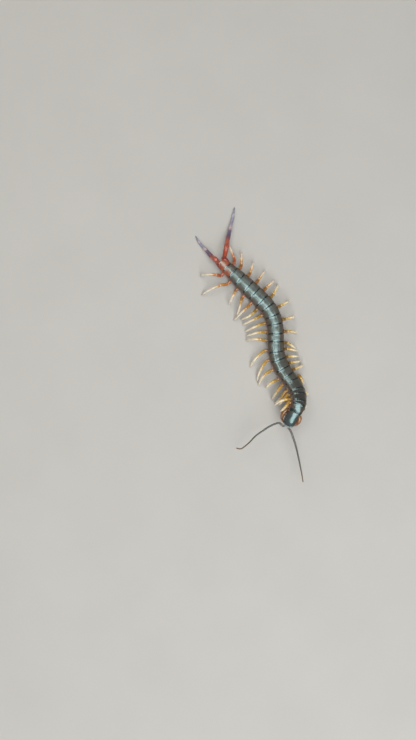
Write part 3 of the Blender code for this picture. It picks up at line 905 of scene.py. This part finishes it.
def make_last_legs():
    """The long last pair, with thorns on the first article."""
    for (side, word), rows in zip(SIDES, (LAST_LEG_RIGHT, LAST_LEG_LEFT)):
        joints = [Vector(row[:3]) for row in rows]
        radii = [row[3] for row in rows]
        shape = Shape(*LEG_MARKS)
        outward = joints[-1] - joints[-2]
        outward.z = 0
        tip = Vector((joints[-1].x, joints[-1].y, 0.03)) + outward.normalized() * LAST_CLAW_REACH
        points, sizes = add_limb(shape, joints, radii, tip, knobs=0.3)
        ways = path_frames(points)
        for n in (4, 6, 8):
            first, second = ways[n]
            for turn in (0.9, 1.8, 3.6, 4.5):
                out = first * math.cos(turn) + second * math.sin(turn)
                add_spine(shape, points[n] + out * sizes[n] * 0.95, out, 0.3, 0.11)
        shape.done(f"{word}_leg_21", LEG_RED, "leg_red", f"leg_{word}_21")


def make_tail_lobes():
    """The swollen side plates of the last segment, which carry the last legs."""
    for (side, word), rows in zip(SIDES, (LAST_LEG_RIGHT, LAST_LEG_LEFT)):
        centre, (right, up, forward) = spine(0.75)
        root = Vector(rows[0][:3])
        knots = [
            centre + right * side * 1.25 - up * 0.35,
            mix(centre + right * side * 1.75 - up * 0.45, root, 0.45),
            root - up * 0.1,
            root - forward * 0.25 + up * 0.25,
        ]
        steps = 14
        points = curve(knots, steps)
        radii = [1.12 * math.sin(math.pi * mix(0.14, 0.86, n / steps)) ** 0.5 for n in range(steps + 1)]
        radii[0] *= 0.6
        radii[-1] *= 0.75
        shape = Shape(*LEG_MARKS)
        add_tube(shape, points, radii, {"along": [0.02] * len(points)}, sides=24)
        below = root - up * 0.95 - right * side * 0.2
        add_spine(shape, below, (-forward - up * 0.4).normalized(), 0.5, 0.16)
        shape.done(f"tail_lobe_{word}", LEG_RED, "leg_red")


# The head

# The head plate's rear and front edge, half its width at the middle, and how square its corners are.
HEAD_REAR = -1.0
HEAD_FRONT = 6.55
HEAD_MIDDLE = 2.9
HEAD_HALF = 2.68
HEAD_ROUND_FRONT = 2.3
HEAD_ROUND_REAR = 3.0
HEAD_SHELL = 0.14
HEAD_SIDES = 72
HEAD_SCALES = [0.12, 0.24, 0.36, 0.48, 0.6, 0.7, 0.78, 0.85, 0.9, 0.94, 0.965, 0.98, 0.99, 0.996, 1.0]
# The case below it, as (ahead, half width, depth), and the right half of its section from top to bottom.
CASE_ROWS = [
    (-0.1, 1.5, 0.75), (0.1, 1.9, 0.95), (0.6, 2.25, 1.05), (1.6, 2.42, 1.1), (2.8, 2.48, 1.12),
    (4.0, 2.4, 1.1), (5.0, 2.12, 1.0), (5.7, 1.75, 0.85), (6.15, 1.4, 0.7), (6.35, 1.0, 0.5),
]
CASE_HALF = [(0, 1), (0.45, 0.93), (0.82, 0.62), (0.98, 0.1), (0.9, -0.5), (0.55, -0.92), (0, -1)]
# The lenses of an eye group, as (out, ahead, radius), and the rings of a lens, as (height, share of radius).
LENSES = ((0.12, 0.34, 0.17), (0.25, -0.02, 0.18), (0.12, -0.38, 0.17), (-0.14, 0.02, 0.15))
LENS_DOME = (
    (-0.06, 1.25), (0.02, 1.2), (0.035, 1.08), (0.02, 0.98), (0.07, 0.86), (0.105, 0.62), (0.125, 0.3),
)


def head_top(x, y):
    """Height of the head plate's upper face at x out and y ahead."""
    arch = (1 - min(abs(x) / (HEAD_HALF * 1.02), 1) ** 2.3) ** 0.8
    height = mix(1.18, 0.42, ease(2.6, 6.9, y) ** 1.4)
    height -= 0.1 * ease(1.0, HEAD_REAR, y)
    return 0.08 + height * arch


def head_outline(turn, scale):
    """A point of the head plate's outline; turn is 0 at the brow and grows to the right."""
    s, c = math.sin(turn), math.cos(turn)
    power = 2 / (HEAD_ROUND_FRONT if c > 0 else HEAD_ROUND_REAR)
    x = HEAD_HALF * signed_power(s, power)
    reach = HEAD_FRONT - HEAD_MIDDLE if c > 0 else HEAD_MIDDLE - HEAD_REAR
    y = signed_power(c, power) * reach
    notch = 0.14 * hump(x, 0, 0.3) if c > 0 else 0
    return x * scale, HEAD_MIDDLE + (y - notch) * scale


def make_head_plate():
    """The arched plate on top of the head, which laps over the first back plate."""
    shape = Shape(*PLATE_MARKS)
    top, bottom = [], []
    for scale in HEAD_SCALES:
        gap = (1 - scale) * HEAD_HALF
        ridge = 0.06 * hump(gap, 0.12, 0.09) - 0.03 * hump(gap, 0.34, 0.1)
        outline = [head_outline(math.tau * i / HEAD_SIDES, scale) for i in range(HEAD_SIDES)]
        rows = []
        for drop in (rounded_edge(gap, HEAD_SHELL) - ridge, HEAD_SHELL):
            rows.append([head_point(1, x, y, head_top(x, y) - drop) for x, y in outline])
        # The rim mark darkens the plate's outer edge: partly a real dark margin, partly painted shade where
        # the plate overhangs.
        values = {"flank": scale**2, "rim": hump(gap, 0, 0.08), "run": 0.5}
        top.append(shape.ring(rows[0], **values))
        bottom.append(shape.ring(rows[1], **values) if scale < 1 else top[-1])
    for layer in (top, bottom):
        shape.bands(layer)
        shape.cap(layer[0])
    shape.done("head_shield", HEAD, "head_plate", "head")


def make_head_capsule():
    """The soft-sided case below the head plate."""
    shape = Shape("fold", "along")
    section = closed_section(CASE_HALF)
    rings = []
    for ahead, wide, down in CASE_ROWS:
        points = []
        for i in range(len(section) * 4):
            x, z = section_point(section, i / 4)
            top = head_top(x * wide, ahead) - HEAD_SHELL - 0.06
            points.append(head_point(1, x * wide, ahead, min(z * 1.1, top) if z > 0 else z * down))
        # The whole case gets a fixed share of painted shade, because it lies under the head plate.
        rings.append(shape.ring(points, fold=0.25, along=0.9))
    shape.loft(rings)
    shape.done("head_case", MEMBRANE, "head_plate", "head")


def make_eyes():
    """Four single lenses on each side of the brow, each a dome in a low collar."""
    step = 0.05
    for side, word in SIDES:
        shape = Shape()
        for dx, dy, radius in LENSES:
            x, y = EYE_PLACE[0] + dx, EYE_PLACE[1] + dy
            rise_x = (head_top(x + step, y) - head_top(x - step, y)) / (2 * step)
            rise_y = (head_top(x, y + step) - head_top(x, y - step)) / (2 * step)
            middle = head_point(side, x, y, head_top(x, y) - 0.02)
            way = (HEAD_UPWARD - HEAD_RIGHT * side * rise_x - HEAD_FORWARD * rise_y).normalized()
            first = way.orthogonal().normalized()
            add_dome(shape, middle, way, first * radius, way.cross(first) * radius, LENS_DOME)
        shape.done(f"lenses_{word}", LENS, "eye_lens", f"eye_{word}")


def make_antennae():
    """Each feeler is a row of cylinders that narrow at their joints."""
    profile = [
        (0.0, 0.7), (0.03, 0.86), (0.09, 0.95), (0.25, 1.0), (0.5, 1.02), (0.75, 1.05), (0.88, 1.05),
        (0.95, 0.97), (0.985, 0.76),
    ]
    for (side, word), route in zip(SIDES, (ANTENNA_RIGHT, ANTENNA_LEFT)):
        knots = head_points(side, ANTENNA_ROOT) + [Vector(p) for p in route]
        fine = curve(knots, 12 * (len(knots) - 1))
        route_table = list(zip(path_shares(fine), fine))
        places, factors, grooves = [], [], []
        for n in range(ANTENNA_ARTICLES):
            for share, factor in profile:
                places.append((n + share) / ANTENNA_ARTICLES)
                factors.append(factor)
                grooves.append(0.9 if share in (0.0, 0.985) else 0.0)
        places[-1] = 0.99
        places += [0.996, 1.0]
        factors += [0.5, 0.2]
        grooves += [0.0, 0.0]
        points = [along_table(route_table, place) for place in places]
        radii = [mix(*ANTENNA_RADIUS, place) * factor for place, factor in zip(places, factors)]
        shape = Shape("along", "groove")
        add_tube(shape, points, radii, {"along": places, "groove": grooves})
        shape.done(f"feeler_{word}", ANTENNA, "antenna_shell", f"antenna_{word}")


def make_forcipules():
    """The venom claws, each of a big first article, two short ones and a long dark point."""
    rows = [(1.7, 0.35, -2.1, 0.7), *FORCIPULE, (0.45, 6.25, -3.3, 0.05)]
    radii = list(enumerate(row[3] for row in rows))
    steps = 96
    for side, word in SIDES:
        knots = head_points(side, [row[:3] for row in rows])
        points, sizes, grooves, tips = [], [], [], []
        for n in range(steps + 1):
            place = (len(knots) - 1) * n / steps
            groove = max(hump(place, joint, 0.05) for joint in FORCIPULE_JOINTS)
            points.append(curve_at(knots, place))
            sizes.append(along_table(radii, place) * (1 - 0.14 * groove))
            grooves.append(groove)
            tips.append(ease(6.3, 7.4, place))
        shape = Shape("along", "groove", "claw")
        add_tube(shape, points, sizes, {"groove": grooves, "claw": tips}, sides=24)
        tooth = head_point(side, 2.55, 2.9, -2.35)
        add_spine(shape, tooth, (HEAD_FORWARD - HEAD_RIGHT * side * 0.9).normalized(), 0.55, 0.26)
        shape.done(f"venom_claw_{word}", FORCIPULE_SHELL, "forcipule_shell", f"forcipule_{word}")


def make_claw_base():
    """The shield under the head, with two toothed lobes at its front edge."""
    shape = Shape("along", "groove", "claw")
    rows = [
        (0.0, 1.5, 0.3), (0.12, 1.9, 0.5), (0.5, 2.3, 0.62), (1.2, 2.5, 0.7), (2.0, 2.35, 0.7),
        (2.8, 1.9, 0.62), (3.4, 1.5, 0.5), (3.65, 1.3, 0.36), (3.75, 1.15, 0.2),
    ]
    sides = 40
    rings = []
    for ahead, wide, thick in rows:
        points, grooves = [], []
        for i in range(sides):
            turn = math.tau * i / sides
            x = signed_power(math.cos(turn), 0.7) * wide
            z = signed_power(math.sin(turn), 0.7) * thick
            line = hump(x, 0, 0.07) if z < 0 else 0
            points.append(head_point(1, x, ahead, -2.1 + z * 0.85 + 0.05 * line))
            grooves.append(0.6 * line)
        rings.append(shape.ring(points, groove=grooves))
    shape.loft(rings)
    for side, word in SIDES:
        for n in range(4):
            root = head_point(side, 0.28 + 0.24 * n, 3.72 - 0.06 * n, -2.25)
            add_spine(shape, root, HEAD_FORWARD, 0.3, 0.13)
    shape.done("claw_shield", FORCIPULE_SHELL, "forcipule_shell", "forcipule_base")


# The lip below the brow, and a jaw, an inner and an outer feeding limb, as (out, ahead, up, radius).
LIP = [(x, 6.25 - 0.25 * x * x, -0.55, radius) for x, radius in (
    (-1.1, 0.16), (-0.5, 0.3), (0, 0.34), (0.5, 0.3), (1.1, 0.16),
)]
JAW = [(1.9, 3.6, -0.75, 0.4), (1.7, 4.8, -0.85, 0.42), (1.0, 5.6, -0.95, 0.36), (0.35, 5.85, -1.0, 0.16)]
INNER_LIMB = [
    (0.45, 3.6, -1.25, 0.34), (0.5, 4.6, -1.4, 0.36), (0.4, 5.5, -1.35, 0.3), (0.2, 5.95, -1.2, 0.14),
]
OUTER_LIMB = [
    (1.3, 2.6, -1.35, 0.36), (1.55, 3.9, -1.6, 0.38), (1.35, 5.1, -1.75, 0.32), (0.75, 5.9, -1.75, 0.24),
    (0.4, 6.1, -1.6, 0.08),
]


def add_lobe(shape, side, rows, steps=16, claw=0.0):
    knots = head_points(side, [row[:3] for row in rows])
    places = [(len(knots) - 1) * n / steps for n in range(steps + 1)]
    radii = list(enumerate(row[3] for row in rows))
    sizes = [along_table(radii, place) for place in places]
    dark = [claw * ease(0.8, 1.0, place / places[-1]) for place in places]
    add_tube(shape, curve(knots, steps), sizes, {"claw": dark}, sides=14)


def make_mouth():
    """The lip, the jaws and the two pairs of feeding limbs below the head."""
    shape = Shape("groove", "claw")
    add_lobe(shape, 1, LIP)
    for side, word in SIDES:
        add_lobe(shape, side, JAW, claw=0.7)
        add_lobe(shape, side, INNER_LIMB)
        add_lobe(shape, side, OUTER_LIMB, steps=24, claw=1.0)
    shape.done("mouth_limbs", MOUTH_SHELL, "forcipule_shell")


# Breathing holes

SPIRACLE_PAIRS = (3, 5, 8, 10, 12, 14, 16, 18, 20)
SPIRACLE_PLACE = 5.75
SPIRACLE_LENGTH = 0.34
SPIRACLE_HEIGHT = 0.19
# The rings of one from outside to inside, as (height above the skin, share of its size).
SPIRACLE_RINGS = ((-0.12, 1.1), (0.03, 1.05), (0.07, 0.92), (0.06, 0.76), (0.0, 0.66), (-0.05, 0.4))


def make_spiracles():
    """The slit-like breathing holes in the side skin, each with a raised horny rim."""
    for side, word in SIDES:
        shape = Shape()
        for pair in SPIRACLE_PAIRS:
            t = SEGMENT_COUNT - pair + 0.32
            place = side * SPIRACLE_PLACE
            middle = body_point(t, place, 0.02)
            forward = spine(t)[1][2]
            way = (body_point(t, place, 1.0) - body_point(t, place, 0.0)).normalized()
            across = way.cross(forward).normalized()
            add_dome(shape, middle, way, forward * SPIRACLE_LENGTH, across * SPIRACLE_HEIGHT, SPIRACLE_RINGS)
        shape.done(f"breathing_holes_{word}", MOUTH_SHELL, "back_plate")


# The studio

# Its places and sizes are in metres.
CAMERA_PLACE = (-0.0191, -0.0118, 0.2443)
LENS_MM = 27.19
FLOOR_HALF = 1.5


def make_floor():
    bm = bmesh.new()
    bmesh.ops.create_grid(bm, x_segments=1, y_segments=1, size=FLOOR_HALF)
    mesh = bpy.data.meshes.new("studio_floor")
    bm.to_mesh(mesh)
    bm.free()
    f = Finish("studio_floor_paint")
    color = f.blend(f.noise(30, 3), "a19d97", "a8a49e")
    mesh.materials.append(f.done(color, 0.85, f.relief((f.noise(900, 3), 0.02))))
    place_object("studio_floor", mesh)


def make_light(name, place, target, size, power, color):
    lamp = bpy.data.lights.new(name, "AREA")
    lamp.shape = "RECTANGLE"
    lamp.size, lamp.size_y = size
    lamp.energy = power
    lamp.color = color
    made = place_object(name, lamp)
    made.location = place
    made.rotation_euler = (Vector(target) - Vector(place)).to_track_quat("-Z", "Y").to_euler()


def make_studio():
    make_floor()
    make_light("window", (0.13, -0.5, 0.75), (0.13, -0.499, 0), (0.5, 1.1), 11, (0.95, 0.98, 1.0))
    make_light("ceiling", (-0.24, 0.33, 0.75), (-0.24, 0.331, 0), (0.46, 0.52), 3.0, (1.0, 1.0, 0.97))
    make_light("fill", (-0.9, 0.9, 0.7), (0, 0, 0), (0.8, 0.8), 2, (1.0, 0.97, 0.93))
    world = bpy.data.worlds.new("studio_room")
    world.use_nodes = True
    shade = world.node_tree.nodes["Background"]
    shade.inputs["Color"].default_value = (0.92, 0.95, 1.0, 1)
    shade.inputs["Strength"].default_value = 0.24
    bpy.context.scene.world = world
    lens = bpy.data.cameras.new("photo_camera")
    lens.lens = LENS_MM
    lens.clip_start = 0.01
    camera = place_object("photo_camera", lens)
    camera.location = CAMERA_PLACE
    bpy.context.scene.camera = camera
    bpy.context.scene.view_settings.view_transform = "Standard"


make_skin()
make_back_plates()
make_belly_plates()
make_walking_legs()
make_last_legs()
make_tail_lobes()
make_head_plate()
make_head_capsule()
make_eyes()
make_antennae()
make_forcipules()
make_claw_base()
make_mouth()
make_spiracles()
make_studio()
